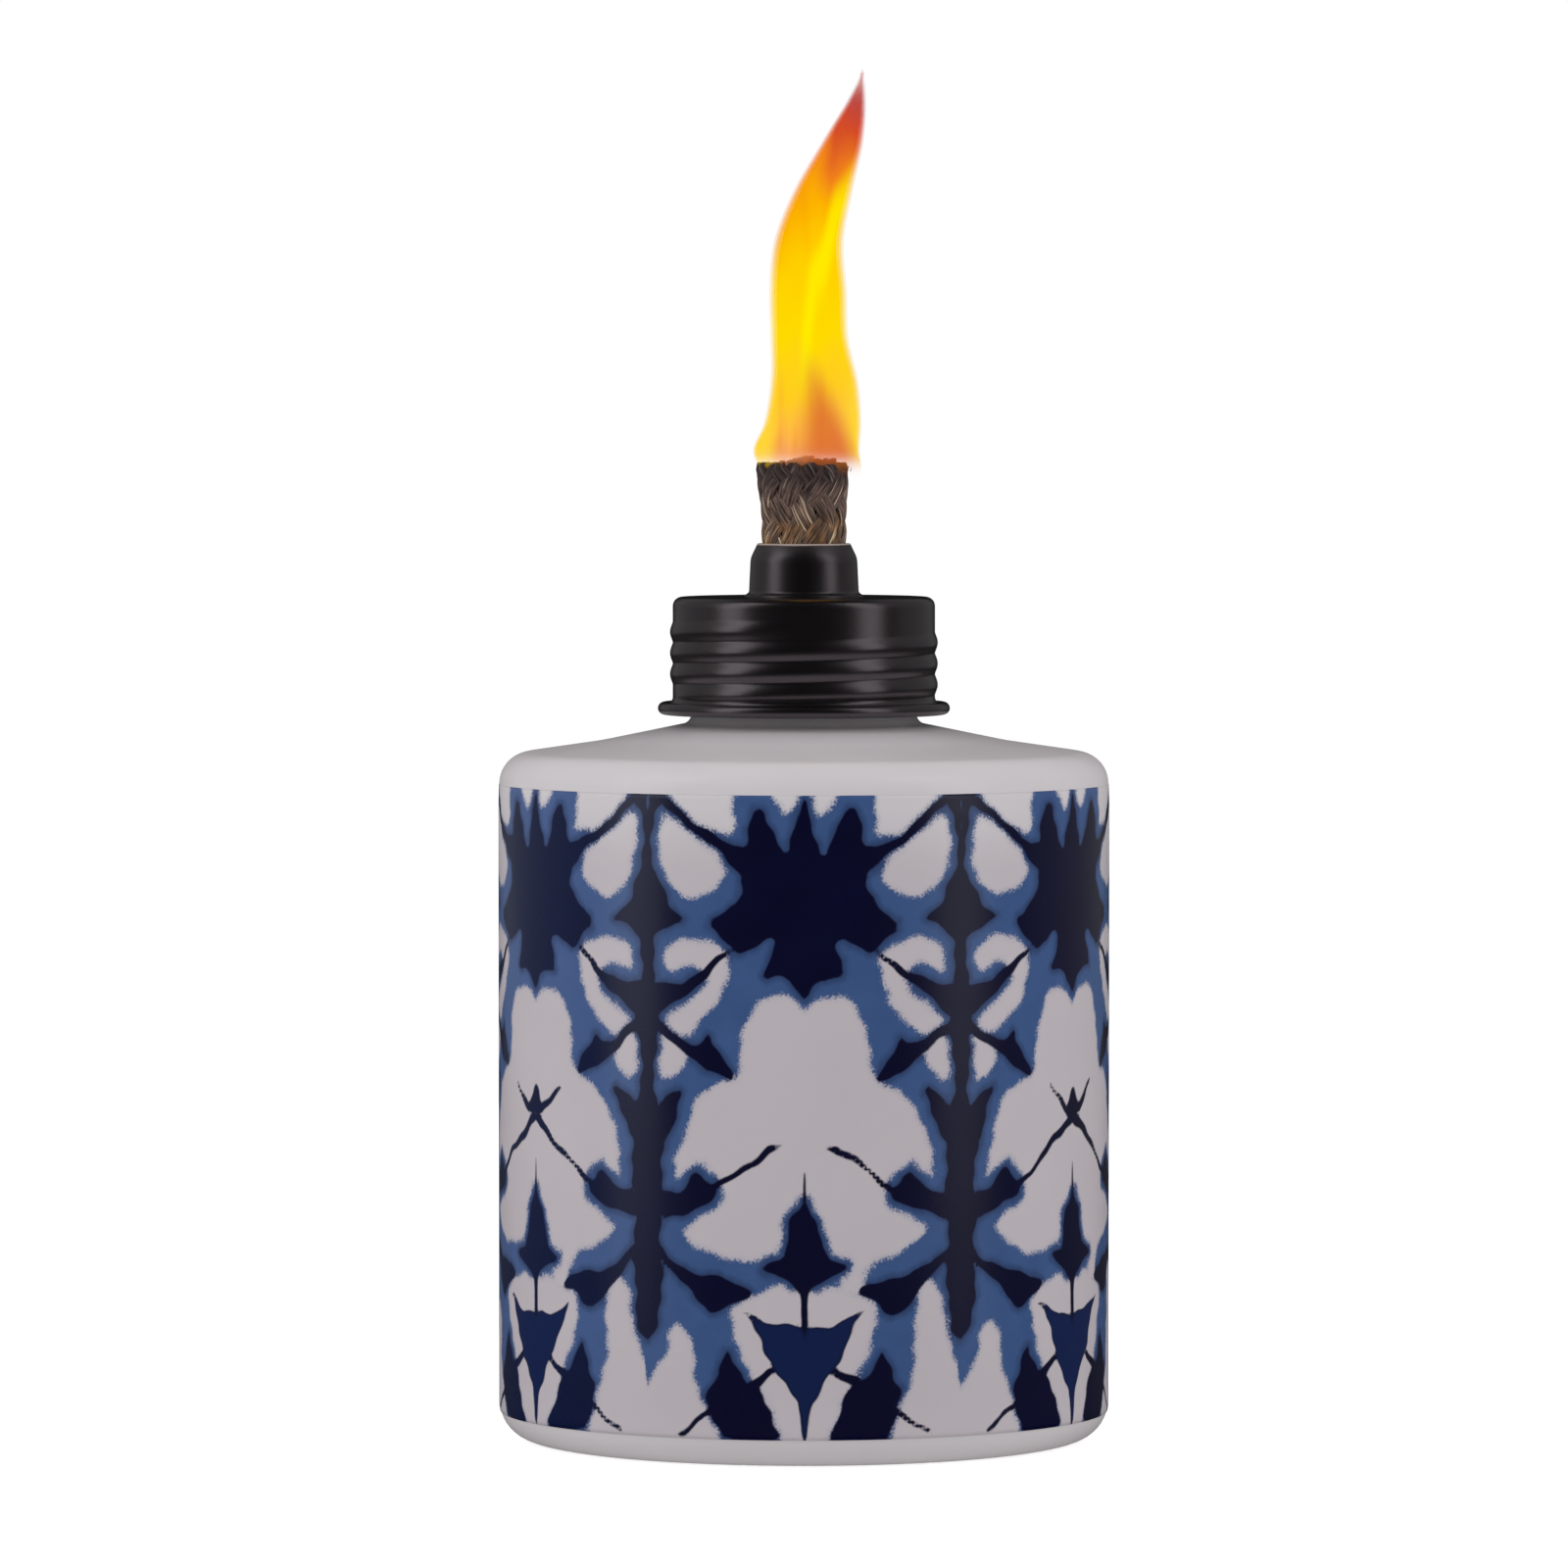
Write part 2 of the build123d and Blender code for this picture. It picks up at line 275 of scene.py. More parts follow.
CUP = [
    (-1, 21.0), (5.2, 21.3), (9.8, 23.9), (7.2, 20.8), (5.8, 17.6), (4.3, 14.6), (2.4, 11.9), (0.8, 9.2),
    (0.3, 4), (-1, 4),
]
CUP_HANDLE = [(3.9, 15.4), (8.8, 12.9), (8.2, 11.6), (3.9, 14.2)]
FOOT_BLOT = [
    (11.3, 17.6), (12.3, 15.7), (13.2, 13.2), (14.7, 11.2), (14.0, 8.6), (12.9, 6.2), (11.7, 4), (3.1, 4),
    (4.6, 7.4), (6.9, 12.3), (8.8, 12.8), (10.3, 15.4),
]
FOOT_THREAD = [(13.8, 9.2), (16.6, 7.0), (19.6, 4.9), (19.2, 4.4), (16.2, 6.3), (13.4, 8.2)]
ROOF_THREAD = [
    (8.0, 91.2), (11.8, 91.9), (15.2, 93.9), (18.4, 96.4), (21.2, 98.9), (22.6, 98.0), (19.4, 95.8),
    (16.0, 93.0), (12.6, 90.6), (10.4, 88.4), (8.4, 87),
]
GABLE = [(-1, 50.6), (2.1, 50.7), (1.5, 52.6), (0.4, 54.9), (-1, 54.9)]
GABLE_THREAD = [(1.2, 51.6), (6.4, 55.6), (6.8, 55.2), (3.2, 51.9), (1.8, 50.4)]

# Millimetres from the spine's fold, and height above the foot.
SPINE = [
    (-1, 99.2), (3.1, 99.2), (2.2, 97.9), (1.1, 96.4), (0.8, 92), (0.9, 87.2), (2.5, 85.4), (3.0, 83.4),
    (4.2, 82.0), (6.3, 80.7), (4.4, 79.9), (2.4, 78.9), (1.0, 77.4), (0.8, 73.6), (1.2, 71.0), (2.2, 69.6),
    (2.1, 66.2), (1.5, 63.8), (1.2, 60.0), (1.3, 54.2), (2.4, 50.6), (2.9, 47.6), (2.4, 43.0),
    (2.4, 38.6), (2.3, 34.0), (2.3, 29.6), (2.2, 22.6), (1.6, 20.2), (0, 18.2), (-1, 18.4),
]
UPPER_ARM = [
    (0, 71.2), (4.8, 71.2), (8.4, 73.0), (11.6, 75.4), (13.6, 76.6), (13.2, 75.6), (10.2, 72.8),
    (6.8, 70.2), (3.8, 67.8), (0, 65.2),
]
LOWER_ARM = [
    (0, 67.2), (3.2, 64.9), (6.3, 62.5), (8.6, 62.4), (10.1, 64.0), (10.7, 61.6), (12.8, 59.2),
    (13.5, 57.0), (10.6, 57.8), (7.0, 60.4), (3.0, 63.2), (0, 65.0),
]
FLANGE = [(1.0, 52.6), (3.6, 55.0), (6.1, 56.2), (4.6, 52.0), (3.4, 48.8), (2.0, 47.0)]
SIDE_ARM = [
    (2.0, 40.5), (5.1, 40.7), (6.8, 42.0), (7.9, 43.8), (8.9, 43.4), (9.6, 42.1), (11.6, 41.0),
    (11.2, 39.8), (8.8, 38.6), (5.4, 37.4), (2.0, 36.4),
]
SIDE_THREAD = [
    (10.3, 41.2), (15.2, 45.0), (19.4, 48.0), (23.6, 51.2), (24.6, 50.0), (20.8, 47.4), (16.0, 44.6),
    (11.2, 40.6),
]
LEG = [
    (1.6, 33.4), (3.8, 30.6), (7.4, 28.7), (12.0, 28.0), (14.8, 27.2), (16.4, 26.2), (15.6, 25.1),
    (13.4, 24.8), (11.6, 22.9), (9.8, 22.8), (7.8, 24.9), (5.4, 27.8), (2.0, 30.4),
]

# Where the cloth stayed white: first from the burst's fold, then from the spine's.
WHITE_FROM_BURST = [
    [(0.5, 101), (1.1, 98.2), (2.0, 95.8), (3.4, 97.0), (4.9, 99.0), (5.0, 101)],
    [(10.3, 101), (10.3, 97), (10.3, 93.0), (14.8, 93.6), (18.2, 96.6), (20.8, 99.0), (21.0, 101)],
    [
        (-2, 67.2), (0, 67.6), (2.0, 69.4), (4.8, 69.9), (7.2, 68.8), (8.9, 65.6), (9.4, 61.2), (10.2, 57.6),
        (13.4, 56.3), (16.4, 54.0), (18.2, 49.6), (19.4, 45.2), (19.4, 42.4), (17.4, 43.8), (15.9, 45.3),
        (14.4, 44.2), (12.4, 42.2), (11.5, 40.2), (12.6, 38.4), (16.2, 36.9), (18.5, 35.0), (16.6, 33.0),
        (12.6, 31.0), (9.0, 30.5), (5.0, 31.5), (0, 33), (-2, 33),
    ],
    [
        (-2, 27.0), (3.2, 27.2), (6.4, 26.3), (9.4, 25.0), (11.2, 23.6), (10.7, 20.8), (9.2, 17.0),
        (7.7, 13.2), (5.6, 9.2), (3.6, 5.2), (2.6, 2), (-2, 2),
    ],
]
FOOT_LOBE = [
    (11.6, 2), (13.6, 7.0), (15.6, 11.4), (16.9, 15.6), (16.5, 19.6), (17.0, 23.0), (18.7, 24.9),
    (20.5, 23.2), (21.0, 19.6), (22.2, 16.4), (23.6, 13.8), (24.2, 11.6), (26, 11.6), (26, 2),
]
LEAF_GAP = [
    (5.0, 33.0), (11.4, 32.4), (10.6, 30.4), (9.0, 28.9), (8.4, 27.6), (8.6, 25.4), (4.6, 25.4), (5.2, 28.4),
]
WHITE_FROM_SPINE = [
    [
        (2.0, 96.4), (4.2, 95.6), (8.2, 92.6), (11.6, 89.8), (13.0, 87.4), (11.0, 84.9), (7.0, 83.6),
        (3.4, 85.6), (2.1, 89),
    ],
    [
        (2.2, 75.2), (3.8, 77.4), (6.8, 78.3), (10.6, 77.4), (13.3, 75.4), (13.0, 72.6), (11.0, 68.2),
        (8.6, 65.4), (6.2, 63.4), (4.2, 64.2), (2.6, 65.8), (5.2, 67.6), (8.8, 70.4), (9.5, 72.6),
        (7.6, 74.0), (5.2, 74.0), (3.0, 72.6),
    ],
    [(2.0, 64.4), (4.6, 62.9), (6.5, 61.0), (5.6, 58.8), (3.4, 56.8), (2.0, 57.4)],
]


def rounded(corners, times=2):
    """Cuts the corners of a closed outline, as dye does when it spreads."""
    points = np.array(corners, float)
    for _ in range(times):
        following = np.roll(points, -1, axis=0)
        cut = [0.78 * points + 0.22 * following, 0.22 * points + 0.78 * following]
        points = np.stack(cut, 1).reshape(-1, 2)
    return points


def edge_distance(across, up, corners):
    """Millimetres to a closed outline's edge, negative inside it."""
    nearest = np.full(across.shape, 1e9)
    inside = np.zeros(across.shape, bool)
    for (x0, y0), (x1, y1) in zip(corners, np.roll(corners, -1, axis=0)):
        run, rise = x1 - x0, y1 - y0
        share = np.clip(((across - x0) * run + (up - y0) * rise) / (run * run + rise * rise), 0, 1)
        nearest = np.minimum(nearest, np.hypot(across - x0 - share * run, up - y0 - share * rise))
        if rise:
            inside ^= ((y0 > up) != (y1 > up)) & (across < x0 + (up - y0) / rise * run)
    return np.where(inside, -nearest, nearest)


def nearest_edge(across, up, outlines):
    return np.min([edge_distance(across, up, outline) for outline in outlines], axis=0)


def dye_edges(x, y, z):
    """For points on the print: millimetres to the edges of navy, mid blue and the cup, negative inside."""
    around = np.arctan2(x, -y) * BOTTLE_R / MM
    tile = np.round(around / (2 * HALF_REPEAT))
    from_burst = around - tile * 2 * HALF_REPEAT
    right_half = np.sign(from_burst)
    up = z / MM
    # Each repeat was dyed by hand, so its edges wander a little.
    wander = 0.28 * np.sin(0.55 * up + 1.3 * tile + 0.21 * from_burst)
    wander += 0.16 * np.sin(1.7 * up - 0.6 * from_burst)
    lift = 0.24 * np.sin(0.61 * from_burst + 2.1 * tile) + 0.14 * np.sin(1.45 * from_burst + 0.4 * up)
    from_burst = np.abs(from_burst + wander * np.clip(np.abs(from_burst) - 0.5, 0, 1))
    from_spine = HALF_REPEAT - from_burst
    up = up + lift * (1 - np.clip((up - 96) / 2, 0, 1))

    front = tile == 0
    gable = nearest_edge(from_burst, up, [np.array(GABLE), np.array(GABLE_THREAD)])
    side_thread = edge_distance(from_spine, up, np.array(SIDE_THREAD))
    gable = np.where(front, 9.0, gable)
    side_thread = np.where(front, np.maximum(side_thread, up - 47.7), side_thread)
    burst_side = [BURST, LEAF, LEAF_TIP, CUP, CUP_HANDLE, FOOT_BLOT, FOOT_THREAD, ROOF_THREAD]
    spine_side = [SPINE, UPPER_ARM, LOWER_ARM, FLANGE, SIDE_ARM, LEG]
    navy = np.minimum.reduce(
        [
            nearest_edge(from_burst, up, [rounded(o, 1) for o in burst_side]),
            nearest_edge(from_spine, up, [rounded(o, 1) for o in spine_side]),
            gable,
            side_thread,
        ]
    )
    white = np.minimum(
        nearest_edge(from_burst, up, [rounded(o) for o in WHITE_FROM_BURST]),
        nearest_edge(from_spine, up, [rounded(o) for o in WHITE_FROM_SPINE]),
    )
    # The dye ran further down on the left of each fold than on its right.
    lobe_up = up - 3.2 * right_half * np.clip((up - 10) / 10, 0, 1)
    white = np.minimum(white, edge_distance(from_burst, lobe_up, rounded(FOOT_LOBE)))
    leaf_gap = edge_distance(from_burst, up, rounded(LEAF_GAP))
    white = np.where(right_half > 0, np.minimum(white, leaf_gap), white)
    leaf_halo = edge_distance(from_burst, up, rounded(LEAF[:-3] + [(-1, 29)])) - 0.9
    return navy, np.minimum(-white, leaf_halo), edge_distance(from_burst, up, rounded(CUP, 1))


def spun(name, outline, steps, closed=False):
    """A surface turned round +Z from an outline in millimetres."""
    shape = bmesh.new()
    verts = [shape.verts.new((r * MM, 0, z * MM)) for r, z in outline]
    for first, second in zip(verts, verts[1:] + verts[:1] if closed else verts[1:]):
        shape.edges.new((first, second))
    bmesh.ops.spin(
        shape,
        geom=shape.verts[:] + shape.edges[:],
        axis=(0, 0, 1),
        cent=(0, 0, 0),
        angle=2 * math.pi,
        steps=steps,
        use_merge=True,
    )
    bmesh.ops.remove_doubles(shape, verts=shape.verts, dist=1e-7)
    bmesh.ops.recalc_face_normals(shape, faces=shape.faces)
    return stand_up(name, shape)


film_rows = np.linspace(film_low.z / MM, film_high.z / MM, 158)
film_outline = [(FILM_R / MM, z) for z in film_rows]
film_outline += [(BOTTLE_R / MM, z) for z in (film_high.z / MM, HEEL_R / MM, film_low.z / MM)]
tie_dye_print = spun("tie_dye_print", film_outline, 480, closed=True)
film_mesh = tie_dye_print.data
# The film thins out towards its upper edge, and its lower edge follows the glass round the heel.
for vert in film_mesh.vertices:
    feather = max(0.0, vert.co.z - (film_high.z - 3.0 * MM)) / (3.0 * MM)
    thinner = 0.09 * MM * feather if vert.co.xy.length > BOTTLE_R + 0.01 * MM else 0
    vert.co.xy *= 1 - thinner / vert.co.xy.length
    drop = max(0.0, HEEL_R - vert.co.z)
    inset = HEEL_R - math.sqrt(HEEL_R**2 - drop**2)
    vert.co.xy *= 1 - inset / vert.co.xy.length
film_points = np.zeros(len(film_mesh.vertices) * 3)
film_mesh.vertices.foreach_get("co", film_points)
for name, distances in zip(("navy_edge", "blue_edge", "cup_edge"), dye_edges(*film_points.reshape(-1, 3).T)):
    film_mesh.attributes.new(name, "FLOAT", "POINT").data.foreach_set("value", distances.astype(np.float32))

print_ink, paint, link = new_finish("print_ink", IOR=1.47)
cloud = paint.noise(14, detail=3.0)
dots = paint.noise(0.32, detail=1.0)
comb = paint.noise(1.1, (1, 1, 0.5), 2.0)
navy_edge = paint.node("ShaderNodeAttribute", {"attribute_name": "navy_edge"}, "Fac")
blue_edge = paint.node("ShaderNodeAttribute", {"attribute_name": "blue_edge"}, "Fac")
cup_edge = paint.node("ShaderNodeAttribute", {"attribute_name": "cup_edge"}, "Fac")
ragged = blue_edge + (dots - 0.5) * 1.5 + (comb - 0.5) * 0.5
is_blue = 1 - ragged.step(-0.4, 0.45)
bleed = 1 - blue_edge.step(-0.2, 1.1)
deep = 1 - (navy_edge + (comb - 0.5) * 0.9).step(0.0, 1.3)
is_navy = 1 - (navy_edge + (comb - 0.5) * 0.2).step(-0.16, 0.16)
white_coat = cloud.between((0.755, 0.71, 0.738), (0.80, 0.758, 0.782))
# Painted light: the blues and the navy are painted lighter on the bottle's left side, where more light falls.
left_side_painted_light = 1 - paint.along("X").step(-44 * MM, -12 * MM)
even_blue = paint.noise(5, detail=3.0).between((0.040, 0.096, 0.265), (0.060, 0.132, 0.335))
mid_blue = (left_side_painted_light * 0.6).between(even_blue, (0.088, 0.152, 0.36))
dyed = (deep * 0.55).between(mid_blue, (0.014, 0.026, 0.092))
# Painted shade: below its top 13 mm, the print's white is painted darker for the shading lower on the body;
# at the top it blends into the coating's white.
cloth_white_painted_shade = cloud.between((0.635, 0.577, 0.622), (0.672, 0.615, 0.658))
cloth_with_painted_shade = paint.along("Z").step(film_high.z - 13 * MM, film_high.z).between(cloth_white_painted_shade, white_coat)
pale = (bleed * 0.3).between(cloth_with_painted_shade, (0.40, 0.43, 0.58))
even_navy = paint.noise(9).between((0.0005, 0.0003, 0.026), (0.0010, 0.0016, 0.038))
dark_navy = (left_side_painted_light * 0.8).between(even_navy, (0.002, 0.011, 0.066))
navy = (1 - cup_edge.step(-0.6, 0.3)).between(dark_navy, (0.001, 0.014, 0.095))
link(
    Base_Color=is_navy.between(is_blue.between(pale, dyed), navy),
    Roughness=0.27 + cloud * 0.08 - is_blue * 0.03,
    Normal=(paint.noise(22, detail=1.0) * 0.7 + is_blue * 0.05 + dots * 0.02).bump(0.12, 0.5),
)
film_mesh.materials.append(print_ink)
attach(tie_dye_print, "bottle")
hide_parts("print_film")

# ---------------------------------------------------------------- cap liner
# A foamed sealing washer. Its faces carry the fine cells of the foam.
liner_foam, paint, link = new_finish("liner_foam", IOR=1.45)
cells = paint.noise(0.3, detail=3.0)
link(
    Base_Color=cells.between((0.60, 0.57, 0.50), (0.74, 0.71, 0.64)),
    Roughness=0.6 + cells * 0.25,
    Normal=cells.bump(0.1),
)
dress_cad_node("cap_liner", liner_foam)

# ---------------------------------------------------------------- cap
# Drawn steel sheet, painted satin black. The thread is rolled into the skirt from inside, so that
# every ridge is a soft wave in the sheet, and the hem is flared and curled up on itself.
PITCH = 3.175
LOW_END_Z, LOW_END_ANGLE, RIDGE_TURNS = 112.37, 180.0, 3.25
RIDGE_HEIGHT, RIDGE_WIDTH = 0.42, 3.1
SHEET = 0.35
SKIRT_R, CAP_CORNER_R = 19.8, 1.4
CURL_R, CURL_CENTRE_R, CURL_CENTRE_Z = 0.95, 21.1, 110.4
FLARE_BEND_R = 1.2
cap_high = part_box("cap_shell")[1] / MM
HOLE_R = 7.35


def arc(centre, radius, first, last, steps):
    """Points on an arc in the XZ plane, by angles in degrees from +X."""
    turns = np.radians(np.linspace(first, last, steps + 1))
    return [(centre[0] + radius * math.cos(t), centre[1] + radius * math.sin(t)) for t in turns]


def rolled_thread(angle, z):
    """How far the rolled thread pushes the skirt out, in millimetres, at this angle and height."""
    turns = (z - LOW_END_Z) / PITCH
    share = (angle - LOW_END_ANGLE) / 360
    nearest = np.round(turns - share)
    off_crest = (turns - share - nearest) * PITCH
    along = share + nearest
    wave = 0.5 + 0.5 * np.cos(np.clip(off_crest / RIDGE_WIDTH, -0.5, 0.5) * 2 * np.pi)
    fade = np.clip(np.minimum(along, RIDGE_TURNS - along) / 0.09, 0, 1)
    return RIDGE_HEIGHT * wave**0.6 * fade * fade * (3 - 2 * fade)


flare_half = (CURL_CENTRE_R - CURL_R - SKIRT_R + SHEET) / 2
flare_angle = math.degrees(math.acos(1 - flare_half / FLARE_BEND_R))
flare_half_height = FLARE_BEND_R * math.sin(math.radians(flare_angle))
skirt_end_z = CURL_CENTRE_Z + 2 * flare_half_height
skirt_rows = np.linspace(cap_high.z - CAP_CORNER_R, skirt_end_z, 110)
cap_outline = (
    [(HOLE_R, cap_high.z), (HOLE_R + 0.2, cap_high.z), (13.0, cap_high.z)]
    + arc((SKIRT_R - CAP_CORNER_R, cap_high.z - CAP_CORNER_R), CAP_CORNER_R, 90, 0, 8)
    + [(SKIRT_R, z) for z in skirt_rows[1:]]
)
# The sheet's outer face follows both flare bends, then the inside of the curl.
outer_bend, inner_bend = FLARE_BEND_R - SHEET / 2, FLARE_BEND_R + SHEET / 2
path_r, path_curl = SKIRT_R - SHEET / 2, CURL_R - SHEET / 2
cap_outline += arc((path_r + FLARE_BEND_R, skirt_end_z), outer_bend, 180, 180 + flare_angle, 4)[1:]
cap_outline += arc(
    (CURL_CENTRE_R - path_curl - FLARE_BEND_R, CURL_CENTRE_Z), inner_bend, flare_angle, 0, 4
)
cap_outline += arc((CURL_CENTRE_R, CURL_CENTRE_Z), path_curl - SHEET / 2, 180, 465, 24)[1:]
screw_cap = spun("screw_cap", cap_outline, 256)
for vert in screw_cap.data.vertices:
    if vert.co.z > (skirt_end_z - 1.2) * MM and vert.co.xy.length > (SKIRT_R - 0.6) * MM:
        angle = math.degrees(math.atan2(vert.co.y, vert.co.x)) % 360
        push = rolled_thread(angle, vert.co.z / MM)
        vert.co.xy *= 1 + push * MM / vert.co.xy.length
sheet = screw_cap.modifiers.new("sheet", "SOLIDIFY")
sheet.thickness = SHEET * MM
sheet.offset = -1
sheet.use_even_offset = True

black_paint, paint, link = new_finish("black_paint", IOR=1.95, Specular_Tint=(1.0, 0.88, 0.96, 1))
orange_peel = paint.noise(0.7, detail=2.0)
smudge = paint.noise(9, detail=4.0)
dust = paint.noise(0.25, detail=1.0).step(0.74, 0.8)
satin_black = smudge.between((0.0028, 0.0026, 0.003), (0.005, 0.0045, 0.005))
link(
    Base_Color=(dust * 0.5).between(satin_black, (0.05, 0.048, 0.046)),
    Roughness=0.25 + smudge * 0.1,
    Normal=(orange_peel * 0.6 + smudge * 0.4).bump(0.02, 0.6),
)
screw_cap.data.materials.append(black_paint)
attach(screw_cap, "cap")
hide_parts("cap_shell")

# ---------------------------------------------------------------- wick tube
# Drawn steel, left bare inside the cap, with fine die lines up its length. It guides the wick, and its
# slit end grips it.
bare_steel, paint, link = new_finish("bare_steel", Metallic=1.0, IOR=2.5)
drawn = paint.noise(0.3, (1, 1, 0.03), 3.0)
link(
    Base_Color=drawn.between((0.42, 0.40, 0.38), (0.62, 0.60, 0.58)),
    Roughness=0.28 + drawn * 0.25,
    Normal=drawn.bump(0.02, 0.5),
)
dress_cad_node("wick_tube", bare_steel)

# ---------------------------------------------------------------- wick collar
# Spun steel over the tube, painted with the cap. The flame has heated its lip: there the paint is
# dull, and worn off along the edge to a pale line.
heated_paint, paint, link = new_finish("heated_paint", IOR=1.95, Specular_Tint=(1.0, 0.88, 0.96, 1))
orange_peel = paint.noise(0.7, detail=2.0)
smudge = paint.noise(5, detail=4.0)
height = paint.along("Z")
lip_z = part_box("wick_collar")[1].z
near_lip = (height + smudge * 1.2 * MM).step(lip_z - 1.3 * MM, lip_z + 0.6 * MM)
worn_lip = (height + (smudge - 0.5) * 0.3 * MM).step(lip_z - 0.3 * MM, lip_z - 0.14 * MM)
satin_black = smudge.between((0.0028, 0.0026, 0.003), (0.0052, 0.0046, 0.0052))
scorched_black = (near_lip * 0.7).between(satin_black, (0.014, 0.009, 0.012))
link(
    Base_Color=(worn_lip * 0.8).between(scorched_black, (0.56, 0.46, 0.38)),
    Roughness=0.3 + smudge * 0.1 + near_lip * 0.2,
    Normal=(orange_peel * 0.6 + near_lip * smudge * 0.6).bump(0.025, 0.6),
)
dress_cad_node("wick_collar", heated_paint)

# ---------------------------------------------------------------- wick braid
# The jacket of a half-inch glass-fibre wick: twenty flat strands, each of three yarns, braided ten each
# way. It is brown from the fuel near the collar, and spread open and black at the burnt end.
wick_low, wick_high = (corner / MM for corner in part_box("wick_jacket"))
EACH_WAY = 10
STRAND_ANGLE = math.radians(30)
STRAND_WIDTH, STRAND_HEIGHT, WEAVE_DEPTH = 3.45, 0.4, 0.26
WICK_R = 6.6
SPREAD_FROM = wick_high.z - 9.5


def braid_radius(z):
    """Outside of the braid in millimetres at this height: straight, then spread, with a rounded rim."""
    spread = np.clip((z - SPREAD_FROM) / (wick_high.z - 1.0 - SPREAD_FROM), 0, 1)
    rim = np.clip((z - (wick_high.z - 1.3)) / 1.3, 0, 1)
    return WICK_R + 0.85 * spread**1.3 - 1.1 * rim**2


def grid_tube(rows, around, place, uv_shift=0.0):
    """A closed tube made from a grid: place(along, turn) gives its points in millimetres."""
    shape = bmesh.new()
    bmesh.ops.create_grid(shape, x_segments=rows, y_segments=around, size=0.5)
    along = np.array([v.co.x + 0.5 for v in shape.verts])
    turn = np.array([v.co.y + 0.5 for v in shape.verts])
    for vert, point in zip(shape.verts, place(along, turn)):
        vert.co = Vector(point) * MM
    layer = shape.loops.layers.uv.new("along_strand")
    for face in shape.faces:
        for loop in face.loops:
            loop[layer].uv = (along[loop.vert.index] + uv_shift, turn[loop.vert.index] + 3.1 * uv_shift)
    bmesh.ops.remove_doubles(shape, verts=shape.verts, dist=1e-7)
    ends = [edge for edge in shape.edges if edge.is_boundary]
    bmesh.ops.holes_fill(shape, edges=ends, sides=around + 1)
    bmesh.ops.recalc_face_normals(shape, faces=shape.faces)
    return shape


def strand_points(along, turn, number, way):
    """One braided strand. It lies on the braid, over and under those that cross it."""
    z = wick_low.z + 0.3 + along * (wick_high.z - wick_low.z - 0.3)
    winding = math.tan(STRAND_ANGLE) / WICK_R
    spacing = 2 * math.pi / EACH_WAY
    crossing = 2 * winding * z / spacing + way * number
    over = way * np.cos(np.pi * crossing) * (-1) ** number
    across = np.cos(2 * np.pi * turn)
    twist = 0.9 * z + 2.4 * number + way
    lobes = 0.55 + 0.45 * np.abs(np.cos(1.5 * np.pi * across + 0.35 * np.sin(0.5 * twist)))
    thick = np.sin(2 * np.pi * turn) * STRAND_HEIGHT * lobes * np.sqrt(np.clip(1.02 - across**2 * 0.55, 0, 1))
    side = across * STRAND_WIDTH / 2
    ragged_end = np.clip(along * 30 - 29, 0, 1) * (0.35 * np.sin(number * 2.3 + way + 3 * across) - 0.35)
    radius = braid_radius(z) - STRAND_HEIGHT - WEAVE_DEPTH + over * WEAVE_DEPTH * 0.95 + thick
    radius = radius + 0.09 * np.sin(twist) - 0.09
    angle = number * spacing + way * winding * z + side * math.cos(STRAND_ANGLE) / WICK_R
    angle = angle + 0.035 * np.sin(0.7 * twist + 1.9 * number)
    height = z - way * side * math.sin(STRAND_ANGLE) + ragged_end
    height = np.clip(height, wick_low.z, wick_high.z)
    lean = 0.35 * np.clip((height - SPREAD_FROM) / 9.5, 0, 1) ** 2
    return np.stack([radius * np.cos(angle) - lean, radius * np.sin(angle), height], 1)


braid = bmesh.new()
for way in (1, -1):
    for number in range(EACH_WAY):
        def place(along, turn, number=number, way=way):
            return strand_points(along, turn, number, way)

        strand = grid_tube(190, 14, place, uv_shift=number + 0.37 * way)
        strand_mesh = bpy.data.meshes.new("strand")
        strand.to_mesh(strand_mesh)
        strand.free()
        braid.from_mesh(strand_mesh)
        bpy.data.meshes.remove(strand_mesh)
wick_braid = stand_up("wick_braid", braid)

scorched_fibre, paint, link = new_finish("scorched_fibre", IOR=1.5)
uv = paint.node("ShaderNodeUVMap", {"uv_map": "along_strand"})
strand_point = paint.node("ShaderNodeMapping", n0=uv, n3=(46.0, 30.0, 1.0))
fibres = paint.node("ShaderNodeTexNoise", Vector=strand_point, Scale=1.0, Detail=3.0, Roughness=0.6)
yarn_point = paint.node("ShaderNodeMapping", n0=uv, n3=(20.0, 26.0, 1.0))
yarns = paint.node("ShaderNodeTexNoise", Vector=yarn_point, Scale=1.0, Detail=2.0)
patches = paint.noise(2.4, (1, 1, 0.6), 3.0)
height = paint.along("Z")
char = (height + (patches - 0.5) * 9 * MM).step(lip_z + 2.0 * MM, lip_z + 7.0 * MM)
soot = (height + (patches - 0.5) * 4 * MM).step(lip_z + 7.2 * MM, lip_z + 11 * MM)
straw = yarns.step(0.60, 0.67)
shade = fibres.step(0.36, 0.62) * (patches * 1.5 - 0.1).step(0.1, 0.8)
tint = paint.noise(3.1, detail=1.0).step(0.4, 0.62)
earth = tint.between((0.24, 0.155, 0.115), (0.40, 0.19, 0.07))
clean = straw.between(shade.between((0.055, 0.028, 0.018), earth), (0.88, 0.70, 0.46))
brown = straw.between(shade.between((0.030, 0.016, 0.013), (0.24, 0.145, 0.115)), (0.56, 0.42, 0.32))
black = straw.between(shade.between((0.012, 0.007, 0.007), (0.075, 0.042, 0.040)), (0.17, 0.12, 0.11))
link(
    Base_Color=soot.between(char.between(clean, brown), black),
    Roughness=0.55 + fibres * 0.3,
    Normal=(fibres + patches * 0.3).bump(0.16),
)
wick_braid.data.materials.append(scorched_fibre)
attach(wick_braid, "wick")
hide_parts("wick_jacket")

